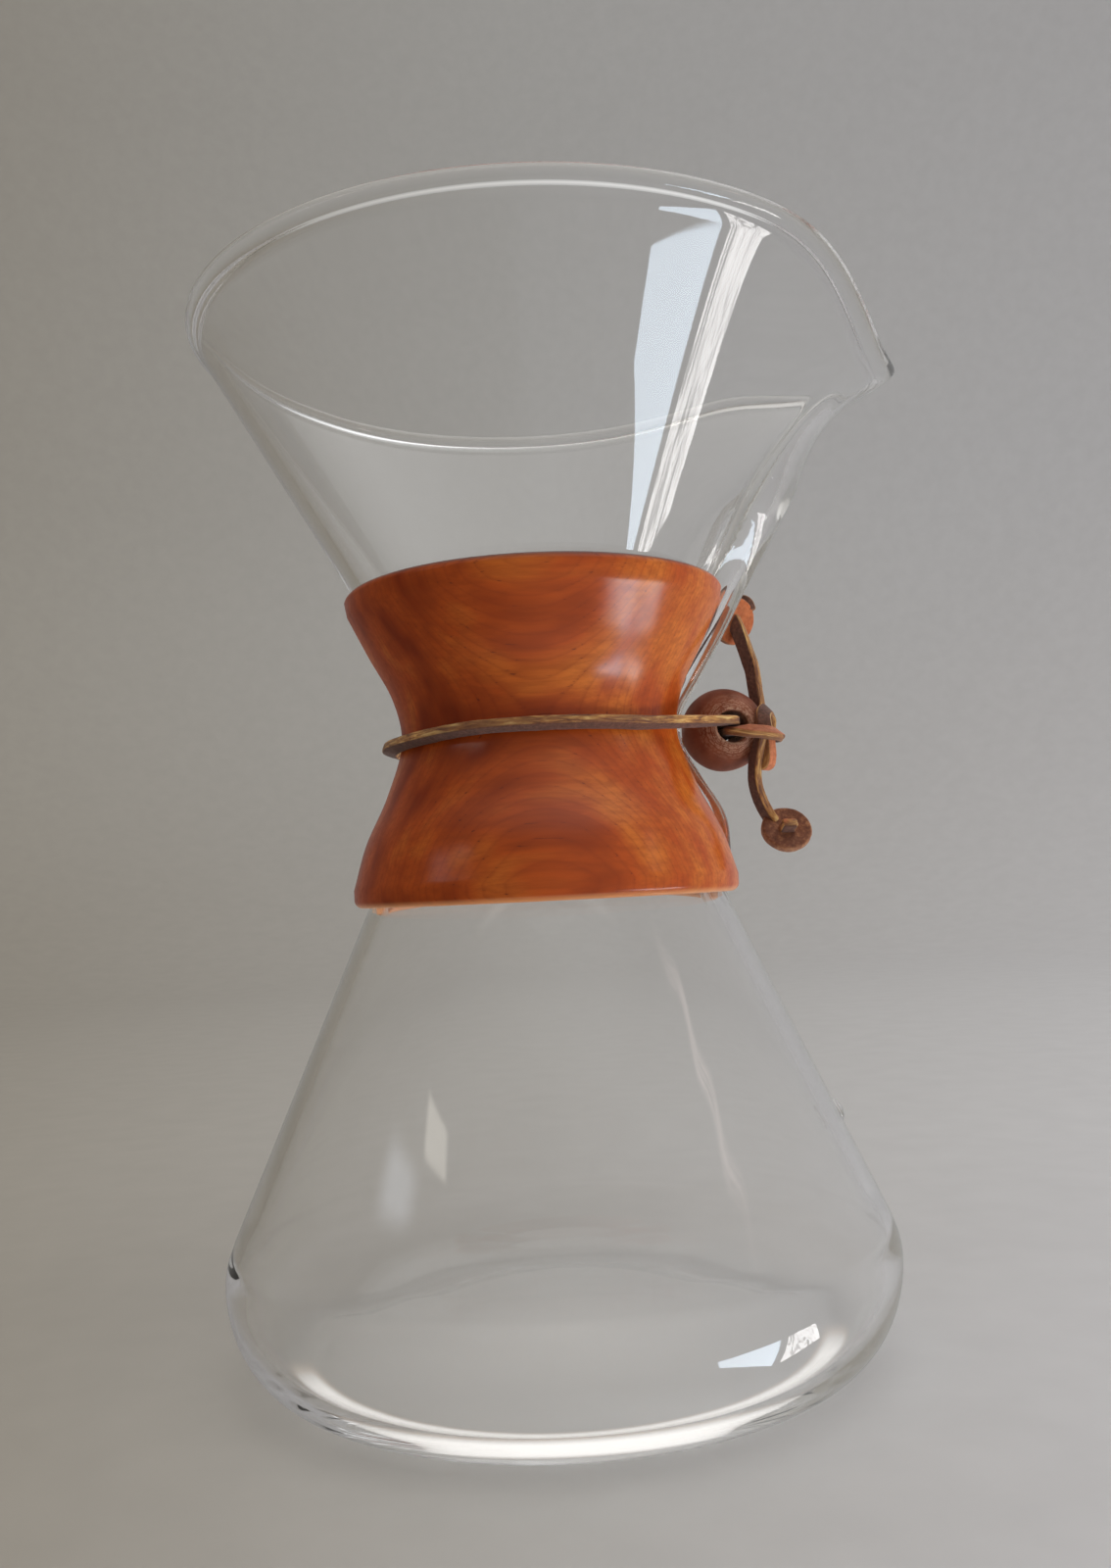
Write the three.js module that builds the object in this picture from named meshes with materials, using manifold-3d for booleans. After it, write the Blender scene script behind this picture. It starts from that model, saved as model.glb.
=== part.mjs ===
// Hourglass pour-over coffee maker.
//
// One blown glass vessel is funnel, neck and flask in one. A wooden collar in two halves
// sits round the neck, and a leather thong ties the halves together through a wooden bead.
//
// Units are millimetres, +Z is up. The origin is the centre of the flat base. +X is the
// side of the spout, its air channel and the bead, and -Y is the front.

import * as THREE from "three";
import { mergeVertices } from "three/addons/utils/BufferGeometryUtils.js";
import Module from "manifold-3d";

const wasm = await Module();
wasm.setup();

// ---------------------------------------------------------------- driving dimensions

// Flask
const FLASK_RADIUS = 65;
const WIDEST_Z = 19.5; // height of the widest ring
const CORNER_WIDTH = 15; // radial width of the rounded base corner
const SHOULDER_RISE = 14; // how fast the corner turns into the cone above the widest ring
const FLASK_SLOPE = 0.45; // radius lost for each millimetre of height

// Funnel and neck
const RIM_Z = 204.4; // centre of the rim bead
const RIM_RADIUS = 66.8; // outer wall at the rim
const FUNNEL_SLOPE = 0.58; // radius gained for each millimetre of height
const NECK_SOFTNESS = 7; // rounds the crease where the two cones would meet

// Glass
const WALL = 2.6;
const FLOOR = 3.6;
const RIM_BEAD = 1.9; // radius of the fire-polished bead on the rim

// Spout and air channel
const SPOUT_START_Z = 165;
const SPOUT_DIP = 11.8; // how far the rim drops at the spout
const SPOUT_REACH = 9.6; // how far the tip stands out from the rim circle
const CHANNEL_HALF_WIDTH = 5.4; // between the collar halves
const CHANNEL_MOUTH_HALF_WIDTH = 15; // below the spout
const CHANNEL_HEIGHTS = [ // [z, how far the channel stands out]
  [86, 0], [96, 5.2], [104, 8], [112, 6.8], [119, 5.4], [125, 5.8], [131, 7.4], [140, 8.2],
  [150, 8], [158, 8.1], [165, 8.4], [170, 7.5], [175, 5.7], [180, 4], [184, 3.3], [192, 1.6], [200, 0],
];

// Level button, a drop of glass fused to the flask
const BUTTON_Z = 44;
const BUTTON_RADIUS = 2.6;
const BUTTON_HEIGHT = 1.3;

// Collar
const COLLAR_BOTTOM = 88.5;
const COLLAR_TOP = 150.4;
const COLLAR_HALF_GAP = 7; // each half stops this far from the plane between them
const COLLAR_CLEARANCE = 0.4; // wood to glass
const COLLAR_OUTLINE = [ // [radius, z] from the bottom flare over the waist to the top
  [38.5, 92], [35.9, 100.6], [31.5, 110], [28.3, 120.8], [29.7, 129], [34.1, 138], [37.9, 146],
];

// Thong, a flat leather lace
const LACE_WIDTH = 3.1;
const LACE_THICKNESS = 1.8;
const LACE_CORNER = 0.45;
const TIE_Z = 120.6; // height of the tie on the collar's waist
const TIE_RADIUS = 28.3 + 0.35 + LACE_WIDTH / 2; // lace centre line on the collar's waist
const LACE_STACK = 1.05; // the two strands lie this far above and below the bore's middle
const BAND_END = 8.9; // distance from the bead's centre where a band stops, at the bore's mouth

// Bead
const BEAD_RADIUS = 8.4;
const BORE_RADIUS = 3.2;
const BEAD_CENTRE = new THREE.Vector3(37.35, 0, 121);
const BEAD_TURN = THREE.MathUtils.degToRad(8); // the bore's turn from the Y axis

// Stopper discs at the thong's two ends
const DISC_RADIUS = 5;
const DISC_THICKNESS = 2;
const UPPER_DISC = {
  centre: new THREE.Vector3(41.9, 7.8, 144.9),
  normal: new THREE.Vector3(-0.53, 0.81, 0.25).normalize(),
};
const LOWER_DISC = {
  centre: new THREE.Vector3(48.3, -3.6, 100.1),
  normal: new THREE.Vector3(0.05, -0.86, 0.5).normalize(),
};

// Knot, and the places where the two tails bend
const KNOT_CENTRE = new THREE.Vector3(45.9, -5.2, 118.2);
const KNOT_RADII = [2.6, 2.8, 5.6];
const UPPER_BEND = [45.3, 2.8, 126.4];
const LOWER_BEND = [42.6, -4.6, 111.5];
const BEND_RADIUS = 1.4; // the rounded end that a tail bends round

// Running gap kept between neighbouring pieces
const GAP = 0.3;

// Mesh fineness
const ROUND_STEPS = 48;
const BEAD_STEPS = 22;
const DISC_STEPS = 18;
const BUTTON_STEPS = 16;
const BAND_STEPS = 32; // steps along each stretch of lace
const PASS_STEPS = 26;
const TAIL_STEPS = 16;
const KNOT_LACE_STEPS = 6;
const NECK_LEVELS = [98, 104, 110, 115, 120, 125, 131, 139, 149]; // shared by glass and collar

// ---------------------------------------------------------------- materials

const glass = new THREE.MeshStandardMaterial({
  color: 0xe4ecea, roughness: 0.05, metalness: 0, transparent: true, opacity: 0.35,
});
const wood = new THREE.MeshStandardMaterial({ color: 0x9c4a1c, roughness: 0.35, metalness: 0 });
const beadWood = new THREE.MeshStandardMaterial({ color: 0x5a342b, roughness: 0.5, metalness: 0 });
const leather = new THREE.MeshStandardMaterial({ color: 0x8a5a2c, roughness: 0.8, metalness: 0 });
const discLeather = new THREE.MeshStandardMaterial({ color: 0xa8552f, roughness: 0.8, metalness: 0 });

// ---------------------------------------------------------------- helpers

function named(name, geometry, material) {
  const mesh = new THREE.Mesh(geometry, material);
  mesh.name = name;
  return mesh;
}

function range(from, to, count) {
  return Array.from({ length: count }, (_, i) => from + ((to - from) * i) / (count - 1));
}

// A lathe turned about Z, for a profile of [radius, z] pairs.
function turned(profile, steps = ROUND_STEPS) {
  const points = profile.map(([r, z]) => new THREE.Vector2(r, z));
  return new THREE.LatheGeometry(points, steps).rotateX(Math.PI / 2);
}

function toSolid(geometry) {
  const bare = geometry.clone();
  bare.deleteAttribute("normal");
  bare.deleteAttribute("uv");
  const merged = mergeVertices(bare, 1e-3);
  const index = merged.index.array;
  const triVerts = [];
  for (let i = 0; i < index.length; i += 3) {
    const [a, b, c] = [index[i], index[i + 1], index[i + 2]];
    if (a !== b && b !== c && c !== a) triVerts.push(a, b, c);
  }
  return new wasm.Manifold(new wasm.Mesh({
    numProp: 3,
    vertProperties: new Float32Array(merged.attributes.position.array),
    triVerts: new Uint32Array(triVerts),
  }));
}

function toGeometry(solid) {
  const mesh = solid.getMesh();
  const geometry = new THREE.BufferGeometry();
  geometry.setAttribute("position", new THREE.BufferAttribute(mesh.vertProperties, 3));
  geometry.setIndex(new THREE.BufferAttribute(mesh.triVerts, 1));
  geometry.computeVertexNormals();
  return geometry;
}

// A smooth curve through [x, y] pairs in order of x, flat outside them.
function smoothTable(table, x) {
  const last = table.length - 1;
  if (x <= table[0][0]) return table[0][1];
  if (x >= table[last][0]) return table[last][1];
  const i = table.findIndex(([at]) => at > x) - 1;
  const slope = (k) => {
    const [before, after] = [table[Math.max(k - 1, 0)], table[Math.min(k + 1, last)]];
    return k === 0 || k === last ? 0 : (after[1] - before[1]) / (after[0] - before[0]);
  };
  const [[x0, y0], [x1, y1]] = [table[i], table[i + 1]];
  const step = x1 - x0;
  const t = (x - x0) / step;
  const rise = y1 - y0;
  const s0 = slope(i) * step;
  const s1 = slope(i + 1) * step;
  return y0 + t * s0 + t * t * (3 * rise - 2 * s0 - s1) + t * t * t * (s0 + s1 - 2 * rise);
}

// ---------------------------------------------------------------- glass vessel

const cornerCentre = FLASK_RADIUS - CORNER_WIDTH;
const shoulderAngle = Math.atan((FLASK_SLOPE * SHOULDER_RISE) / CORNER_WIDTH);
const shoulder = {
  r: cornerCentre + CORNER_WIDTH * Math.cos(shoulderAngle),
  z: WIDEST_Z + SHOULDER_RISE * Math.sin(shoulderAngle),
};

// Outer radius of the plain hourglass above the flask's shoulder: two cones, softly joined.
function hourglass(z) {
  const flask = shoulder.r - FLASK_SLOPE * (z - shoulder.z);
  const funnel = RIM_RADIUS - FUNNEL_SLOPE * (RIM_Z - z);
  return (flask + funnel + Math.hypot(flask - funnel, NECK_SOFTNESS)) / 2;
}

// The wall measured along the radius, which is thicker than WALL where the wall leans.
function radialWall(z) {
  const slope = hourglass(z + 0.5) - hourglass(z - 0.5);
  return WALL * Math.hypot(1, slope);
}

// Rounded base corner, from the flat base up to the shoulder, inset by the glass thickness.
function baseCorner(wall, floor, steps) {
  return range(-Math.PI / 2, shoulderAngle, steps).map((angle) => {
    const drop = angle < 0 ? WIDEST_Z - floor : SHOULDER_RISE;
    return [
      cornerCentre + (CORNER_WIDTH - wall) * Math.cos(angle),
      WIDEST_Z + drop * Math.sin(angle),
    ];
  });
}

function rimBead(steps) {
  const centre = hourglass(RIM_Z) - radialWall(RIM_Z) / 2;
  const [from, to] = [-40, 200].map(THREE.MathUtils.degToRad);
  return range(from, to, steps).map((angle) => [
    centre + RIM_BEAD * Math.cos(angle),
    RIM_Z + RIM_BEAD * Math.sin(angle),
  ]);
}

function bump(t) {
  const s = Math.min(t * t, 1);
  return (1 - s) ** 2 * (1 + s);
}

// How far the air channel stands out at height z, at a distance aside from its centre.
function channel(z, aside) {
  const widening = THREE.MathUtils.smoothstep(z, COLLAR_TOP, SPOUT_START_Z + 10);
  const halfWidth = THREE.MathUtils.lerp(CHANNEL_HALF_WIDTH, CHANNEL_MOUTH_HALF_WIDTH, widening);
  return smoothTable(CHANNEL_HEIGHTS, z) * bump(aside / halfWidth);
}

// The spout's outline round the rim: a narrow beak on a wide lip.
function beak(angle) {
  const narrow = Math.exp(-((Math.hypot(angle, 0.04) / 0.16) ** 1.3));
  const wide = Math.exp(-((angle / 0.6) ** 2));
  return 0.6 * narrow + 0.4 * wide;
}

function rimDip(angle) {
  return Math.exp(-(Math.abs(angle / 0.5) ** 2.9));
}

// Moves a point of the plain hourglass out to the spout and the air channel.
function withSpout(r, z, angle) {
  if (z < CHANNEL_HEIGHTS[0][0]) return [r, z];
  const up = Math.max(0, (z - SPOUT_START_Z) / (RIM_Z - SPOUT_START_Z));
  const aside = hourglass(z) * Math.sin(angle);
  const groove = Math.cos(angle) > 0 ? channel(z, aside) : 0;
  return [
    r + groove + SPOUT_REACH * beak(angle) * up ** 5,
    z - SPOUT_DIP * rimDip(angle) * up,
  ];
}

function vesselGeometry() {
  const outerZ = [52, 82, 90, ...NECK_LEVELS, 160, 168, 173, 178, 185, 192, 198, 202];
  const innerZ = [200, 191, 182, 175, 168, 155, 140, 128, 121, 113, 104, 95, 84, 52];
  const profile = [
    [0, 0],
    ...baseCorner(0, 0, 7),
    ...outerZ.map((z) => [hourglass(z), z]),
    ...rimBead(6),
    ...innerZ.map((z) => [hourglass(z) - radialWall(z), z]),
    ...baseCorner(WALL, FLOOR, 5).reverse(),
    [0, FLOOR],
  ];
  const geometry = turned(profile);
  const position = geometry.attributes.position;
  for (let i = 0; i < position.count; i += 1) {
    const plainAngle = Math.atan2(position.getY(i), position.getX(i));
    const angle = plainAngle - 0.58 * Math.sin(plainAngle); // closer steps at the spout
    const plainRadius = Math.hypot(position.getX(i), position.getY(i));
    const [r, z] = withSpout(plainRadius, position.getZ(i), angle);
    position.setXYZ(i, r * Math.cos(angle), r * Math.sin(angle), z);
  }
  return geometry;
}

function buttonGeometry() {
  const lean = Math.atan(FLASK_SLOPE);
  const dome = range(0, Math.PI / 2, 5).map((angle) => [
    BUTTON_RADIUS * Math.cos(angle), BUTTON_HEIGHT * Math.sin(angle),
  ]);
  return turned([[0, 0], ...dome], BUTTON_STEPS)
    .rotateY(Math.PI / 2 - lean)
    .translate(hourglass(BUTTON_Z) + GAP / 2, 0, BUTTON_Z);
}

// ---------------------------------------------------------------- collar

function collarRing() {
  const outline = COLLAR_OUTLINE.map(([r, z]) => new THREE.Vector2(r, z));
  const outer = new THREE.SplineCurve(outline).getPoints(11).map(({ x, y }) => [x, y]);
  const bottomNose = [[36, COLLAR_BOTTOM], [37.4, COLLAR_BOTTOM + 0.4], [38.4, COLLAR_BOTTOM + 1.8]];
  const topNose = [[38.2, COLLAR_TOP - 2.2], [37.7, COLLAR_TOP - 0.6], [36.6, COLLAR_TOP]];
  const levels = [COLLAR_BOTTOM + 0.4, 90, ...NECK_LEVELS, COLLAR_TOP - 0.4].reverse();
  const inner = levels.map((z) => [hourglass(z) + COLLAR_CLEARANCE, z]);
  return turned([...bottomNose, ...outer, ...topNose, ...inner, bottomNose[0]]);
}

function collarHalf(side) {
  const size = 2 * FLASK_RADIUS; // wider than the collar every way
  const cutter = new THREE.BoxGeometry(size, size, size)
    .translate(0, side * (COLLAR_HALF_GAP + size / 2), (COLLAR_BOTTOM + COLLAR_TOP) / 2);
  return toGeometry(toSolid(collarRing()).intersect(toSolid(cutter)));
}

// ---------------------------------------------------------------- bead

function beadGeometry() {
  const mouthAngle = Math.acos((BORE_RADIUS + 0.5) / BEAD_RADIUS);
  const outer = range(-mouthAngle, mouthAngle, 11).map((angle) => [
    BEAD_RADIUS * Math.cos(angle), BEAD_RADIUS * Math.sin(angle),
  ]);
  const boreEnd = BEAD_RADIUS * Math.sin(mouthAngle) - 0.5;
  const profile = [[BORE_RADIUS, -boreEnd], ...outer, [BORE_RADIUS, boreEnd], [BORE_RADIUS, -boreEnd]];
  return turned(profile, BEAD_STEPS)
    .rotateX(Math.PI / 2)
    .rotateZ(BEAD_TURN)
    .translate(BEAD_CENTRE.x, BEAD_CENTRE.y, BEAD_CENTRE.z);
}

// A point in the bead's own directions: along the bore (front is positive), aside, and up.
function atBead(along, aside, up) {
  const [s, c] = [Math.sin(BEAD_TURN), Math.cos(BEAD_TURN)];
  return new THREE.Vector3(s * along + c * aside, -c * along + s * aside, up).add(BEAD_CENTRE);
}

// ---------------------------------------------------------------- thong

function laceSection(grow = 0) {
  const x = LACE_THICKNESS / 2 + grow;
  const y = LACE_WIDTH / 2 + grow;
  const c = LACE_CORNER;
  return new THREE.Shape([
    [x, c - y], [x, y - c], [x - c, y], [c - x, y], [-x, y - c], [-x, c - y], [c - x, -y], [x - c, -y],
  ].map(([px, py]) => new THREE.Vector2(px, py)));
}

function lace(points, steps, grow = 0) {
  const extrudePath = new THREE.CatmullRomCurve3(points, false, "centripetal");
  return new THREE.ExtrudeGeometry(laceSection(grow), { steps, extrudePath, bevelEnabled: false });
}

// From the seam at -X round one half of the collar, then straight to the bead's mouth.
function bandGeometry(side) {
  const mouth = atBead(-side * BAND_END, 0, -side * LACE_STACK);
  const reach = Math.hypot(mouth.x, mouth.y);
  const tangent = Math.atan2(Math.abs(mouth.y), mouth.x) + Math.acos(TIE_RADIUS / reach);
  const seam = Math.PI - GAP / TIE_RADIUS;
  const onWaist = range(seam, tangent, BAND_STEPS).map((angle) => new THREE.Vector3(
    TIE_RADIUS * Math.cos(angle), side * TIE_RADIUS * Math.sin(angle), TIE_Z,
  ));
  const leave = onWaist.at(-1);
  const halfway = leave.clone().lerp(mouth, 0.5);
  return lace([...onWaist, halfway, mouth], BAND_STEPS);
}

// The front band's end goes through the bead, comes out at the back and turns to the knot.
function passFrontGeometry() {
  return lace([
    atBead(6.6, 0, LACE_STACK), atBead(3, 0, LACE_STACK), atBead(0, 0, LACE_STACK),
    atBead(-4, 0, LACE_STACK), atBead(-7.4, 0, LACE_STACK), atBead(-9.6, 0.6, LACE_STACK),
    atBead(-10.6, 3.2, LACE_STACK), atBead(-9.3, 6.4, 0.7), atBead(-6.4, 9.1, 0.3),
    atBead(-2.6, 10.6, 0), atBead(0.6, 10.7, -0.3),
  ], PASS_STEPS);
}

// The back band's end goes through the bead, comes out at the front and turns to the knot.
function passBackGeometry() {
  return lace([
    atBead(-6.6, 0, -LACE_STACK), atBead(-3, 0, -LACE_STACK), atBead(0, 0, -LACE_STACK),
    atBead(4, 0, -LACE_STACK), atBead(7.2, 0, -LACE_STACK), atBead(9.1, 1, -LACE_STACK),
    atBead(10, 3, -1.3), atBead(9.9, 4.6, -1.5),
  ], PASS_STEPS);
}

// Lace that is part of the knot: the front turn, and the stubs that the two tails bend on.
const KNOT_LACES = [
  [[43.7, -9, 119.4], [45.6, -8.1, 119.3], [47.1, -6.3, 119.2], [47.6, -4.2, 119.2]],
  [[46.6, -4.4, 120.4], [46.9, -2.3, 122.9], [46.2, 0.4, 124.8], UPPER_BEND],
  [[44.6, -5.6, 117.6], [43.5, -5.6, 116.2], [42.9, -5.2, 114], LOWER_BEND],
];

function knotGeometry() {
  const { x, y, z } = KNOT_CENTRE;
  const ball = (at, radius) => new THREE.SphereGeometry(radius, 12, 8).translate(...at);
  const core = new THREE.SphereGeometry(1, 14, 10).scale(...KNOT_RADII).translate(x, y, z);
  const added = [
    ...KNOT_LACES.map((route) => lace(route.map((p) => new THREE.Vector3(...p)), KNOT_LACE_STEPS)),
    ball(UPPER_BEND, BEND_RADIUS), ball(LOWER_BEND, BEND_RADIUS),
  ];
  const room = new THREE.SphereGeometry(BEAD_RADIUS + GAP, 32, 20)
    .translate(BEAD_CENTRE.x, BEAD_CENTRE.y, BEAD_CENTRE.z);
  const knot = added.reduce((solid, piece) => solid.add(toSolid(piece)), toSolid(core));
  return toGeometry(knot.subtract(toSolid(room)));
}

// A tail starts just past its bend, runs through its disc and stands out past it.
const UPPER_TAIL = [
  [45.15, 3, 128.15], [45, 3.4, 130.2], [44.6, 4.2, 134], [43.7, 5.1, 138], [42.8, 6.2, 141.8],
  [41.9, 7.8, 144.9], [40.9, 9.4, 146.2],
].map((p) => new THREE.Vector3(...p));
const LOWER_TAIL = [
  [42.6, -4.4, 109.75], [42.8, -3.9, 107.4], [43.6, -3, 104.8], [45.1, -1.9, 102.3],
  [46.8, -1.5, 100.5], [48, -2.3, 99.8], [48.4, -3.9, 100.1], [48.6, -6, 100.9],
].map((p) => new THREE.Vector3(...p));

function discGeometry({ centre, normal }, tail) {
  const disc = new THREE.CylinderGeometry(DISC_RADIUS, DISC_RADIUS, DISC_THICKNESS, DISC_STEPS)
    .applyQuaternion(new THREE.Quaternion().setFromUnitVectors(new THREE.Vector3(0, 1, 0), normal))
    .translate(centre.x, centre.y, centre.z);
  return toGeometry(toSolid(disc).subtract(toSolid(lace(tail, TAIL_STEPS, GAP))));
}

// ---------------------------------------------------------------- assembly

const coffeeMaker = new THREE.Group();
coffeeMaker.add(
  named("glass_vessel", vesselGeometry(), glass),
  named("level_button", buttonGeometry(), glass),
  named("collar_front", collarHalf(-1), wood),
  named("collar_back", collarHalf(1), wood),
  named("bead", beadGeometry(), beadWood),
  named("thong_band_front", bandGeometry(-1), leather),
  named("thong_band_back", bandGeometry(1), leather),
  named("thong_pass_front", passFrontGeometry(), leather),
  named("thong_pass_back", passBackGeometry(), leather),
  named("thong_knot", knotGeometry(), leather),
  named("thong_tail_upper", lace(UPPER_TAIL, TAIL_STEPS), leather),
  named("thong_tail_lower", lace(LOWER_TAIL, TAIL_STEPS), leather),
  named("disc_upper", discGeometry(UPPER_DISC, UPPER_TAIL), discLeather),
  named("disc_lower", discGeometry(LOWER_DISC, LOWER_TAIL), discLeather),
);

export default coffeeMaker;
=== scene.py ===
import math

import bpy
import numpy as np
from mathutils import Matrix, Vector, noise
from mathutils.geometry import tessellate_polygon


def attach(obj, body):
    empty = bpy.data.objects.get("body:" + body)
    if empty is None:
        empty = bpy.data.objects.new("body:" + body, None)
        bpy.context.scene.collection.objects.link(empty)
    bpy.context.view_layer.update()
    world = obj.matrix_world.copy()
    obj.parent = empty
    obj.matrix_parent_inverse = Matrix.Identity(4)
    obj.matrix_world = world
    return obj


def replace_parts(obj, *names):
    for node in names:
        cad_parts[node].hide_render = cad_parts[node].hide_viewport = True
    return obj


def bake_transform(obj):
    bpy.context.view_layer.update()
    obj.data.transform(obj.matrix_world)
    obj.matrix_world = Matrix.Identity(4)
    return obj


# Looks of the hourglass coffee maker. Shapes are worked out in millimetres, in the CAD frame,
# and MM turns them into metres when a mesh is made.

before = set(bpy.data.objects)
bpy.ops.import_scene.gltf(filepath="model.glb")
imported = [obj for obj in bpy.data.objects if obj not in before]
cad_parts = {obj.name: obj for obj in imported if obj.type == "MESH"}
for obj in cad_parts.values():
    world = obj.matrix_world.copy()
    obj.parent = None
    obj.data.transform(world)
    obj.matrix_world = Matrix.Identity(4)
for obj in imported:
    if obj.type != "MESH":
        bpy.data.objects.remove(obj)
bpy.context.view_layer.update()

MM = 0.001

# ---------------------------------------------------------------- sizes, in millimetres

# Glass vessel
FLASK_RADIUS = 65
WIDEST_Z = 19.5
CORNER_WIDTH = 15
SHOULDER_RISE = 14
FLASK_SLOPE = 0.45
RIM_Z = 204.4
RIM_RADIUS = 66.8
FUNNEL_SLOPE = 0.58
NECK_SOFTNESS = 7
WALL = 2.6
FLOOR = 3.6
RIM_BEAD = 1.9
SPOUT_START_Z = 165
SPOUT_DIP = 11.8
SPOUT_REACH = 9.6
CHANNEL_HALF_WIDTH = 5.4
CHANNEL_MOUTH_HALF_WIDTH = 15
CHANNEL_HEIGHTS = [  # (z, how far the air channel stands out)
    (86, 0), (96, 5.2), (104, 8), (112, 6.8), (119, 5.4), (125, 5.8), (131, 7.3), (140, 8.1),
    (150, 8.1), (159, 8.2), (165, 8.2), (171, 7.1), (177, 5.2), (185, 3), (193, 1.4), (202, 0),
]
WALL_WAVE = 0.1  # how far the blown wall's inside wanders
BUTTON_Z = 44
BUTTON_RADIUS = 2.6
BUTTON_HEIGHT = 1.3

# Collar
COLLAR_BOTTOM = 88.5
COLLAR_TOP = 150.4
COLLAR_HALF_GAP = 7
COLLAR_CLEARANCE = 0.4
COLLAR_OUTLINE = [
    (38.5, 92), (35.9, 100.6), (31.5, 110), (28.3, 120.8), (29.7, 129), (34.1, 138), (37.9, 146),
]
COLLAR_EDGE = 0.9  # rounding of the halves' edges
RING_SPACING = 0.95

# Thong
LACE_WIDTH = 3.1
LACE_THICKNESS = 1.75
LACE_CORNER = 0.45
TIE_Z = 120.6
TIE_RADIUS = 30.2
TIE_TILT = math.radians(20)  # the lace lies tilted on the waist, its grain side turned outward
LACE_STACK = 0.95  # the strands lie this far above and below the bore's middle

# Bead
BEAD_RADIUS = 8.4
BORE_RADIUS = 3.2
BEAD_CENTRE = Vector((37.35, 0, 121))
BEAD_TURN = math.radians(8)

# Stopper discs
DISC_RADIUS = 5
DISC_THICKNESS = 1.9
DISC_CORNER = 0.55
UPPER_DISC = (Vector((41.9, 7.8, 144.9)), Vector((-0.53, 0.81, 0.25)).normalized())
LOWER_DISC = (Vector((48.3, -3.6, 100.1)), Vector((0.05, -0.86, 0.5)).normalized())


# Stage
FLOOR_RADIUS = 1100
COVE = 700  # radius of the sweep from the floor up into the wall
WALL_TOP = 1900
FAN_CENTRE = 0.3  # the paper's painted shade fans out from a point this many metres before the object
WINDOW_DISTANCE = 6000


# ---------------------------------------------------------------- mesh helpers

def new_piece(name, vertices, faces, material):
    """A smooth mesh object from vertices in millimetres."""
    mesh = bpy.data.meshes.new(name)
    mesh.from_pydata([tuple(MM * c for c in v) for v in vertices], [], faces)
    mesh.validate()
    mesh.update()
    mesh.shade_smooth()
    mesh.materials.append(material)
    piece = bpy.data.objects.new(name, mesh)
    bpy.context.scene.collection.objects.link(piece)
    return piece


def grid_faces(rows, columns, closed_rows=False, closed_columns=False):
    """Quads of a rows by columns grid of vertices, row after row."""
    faces = []
    for i in range(rows if closed_rows else rows - 1):
        for j in range(columns if closed_columns else columns - 1):
            a, b = i * columns, (i + 1) % rows * columns
            k = (j + 1) % columns
            faces.append((a + j, a + k, b + k, b + j))
    return faces


def smooth_table(table, x):
    """A smooth curve through (x, y) pairs, flat outside them, for an array x."""
    xs, ys = np.array(table, float).T
    slopes = np.zeros_like(ys)
    slopes[1:-1] = (ys[2:] - ys[:-2]) / (xs[2:] - xs[:-2])
    x = np.clip(x, xs[0], xs[-1])
    i = np.clip(np.searchsorted(xs, x, side="right") - 1, 0, len(xs) - 2)
    step = xs[i + 1] - xs[i]
    t = (x - xs[i]) / step
    rise = ys[i + 1] - ys[i]
    s0, s1 = slopes[i] * step, slopes[i + 1] * step
    return ys[i] + t * s0 + t**2 * (3 * rise - 2 * s0 - s1) + t**3 * (s0 + s1 - 2 * rise)


def smoothstep(x, low, high):
    t = np.clip((x - low) / (high - low), 0, 1)
    return t * t * (3 - 2 * t)


def spline(points, step):
    """Points every step or so along a centripetal Catmull-Rom curve, as an array."""
    p = [np.array(q, float) for q in points]
    p = [2 * p[0] - p[1], *p, 2 * p[-1] - p[-2]]
    made = []
    for k in range(1, len(p) - 2):
        a, b, c, d = p[k - 1:k + 3]
        t0 = 0
        t1 = t0 + max(np.linalg.norm((b - a)[:3]), 1e-6) ** 0.5
        t2 = t1 + max(np.linalg.norm((c - b)[:3]), 1e-6) ** 0.5
        t3 = t2 + max(np.linalg.norm((d - c)[:3]), 1e-6) ** 0.5
        count = max(2, round(np.linalg.norm((c - b)[:3]) / step))
        for t in np.linspace(t1, t2, count, endpoint=False):
            ab = (t1 - t) / (t1 - t0) * a + (t - t0) / (t1 - t0) * b
            bc = (t2 - t) / (t2 - t1) * b + (t - t1) / (t2 - t1) * c
            cd = (t3 - t) / (t3 - t2) * c + (t - t2) / (t3 - t2) * d
            abc = (t2 - t) / (t2 - t0) * ab + (t - t0) / (t2 - t0) * bc
            bcd = (t3 - t) / (t3 - t1) * bc + (t - t1) / (t3 - t1) * cd
            made.append((t2 - t) / (t2 - t1) * abc + (t - t1) / (t2 - t1) * bcd)
    made.append(p[-2])
    return np.array(made)


# ---------------------------------------------------------------- material helpers

def node(tree, kind, inputs=None, **settings):
    """Adds a shader node; an input is a value or another node's socket."""
    made = tree.nodes.new("ShaderNode" + kind)
    for key, value in settings.items():
        setattr(made, key, value)
    for key, value in (inputs or {}).items():
        if isinstance(value, bpy.types.NodeSocket):
            tree.links.new(value, made.inputs[key])
        else:
            made.inputs[key].default_value = value
    return made


def calc(tree, operation, a, b=0.0):
    """The result of one Math node."""
    return node(tree, "Math", {0: a, 1: b}, operation=operation).outputs[0]


def mixed(tree, factor, a, b, blend="MIX"):
    """Mixes two colours."""
    made = node(tree, "Mix", {0: factor, 6: a, 7: b}, data_type="RGBA", blend_type=blend)
    return made.outputs[2]


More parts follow.
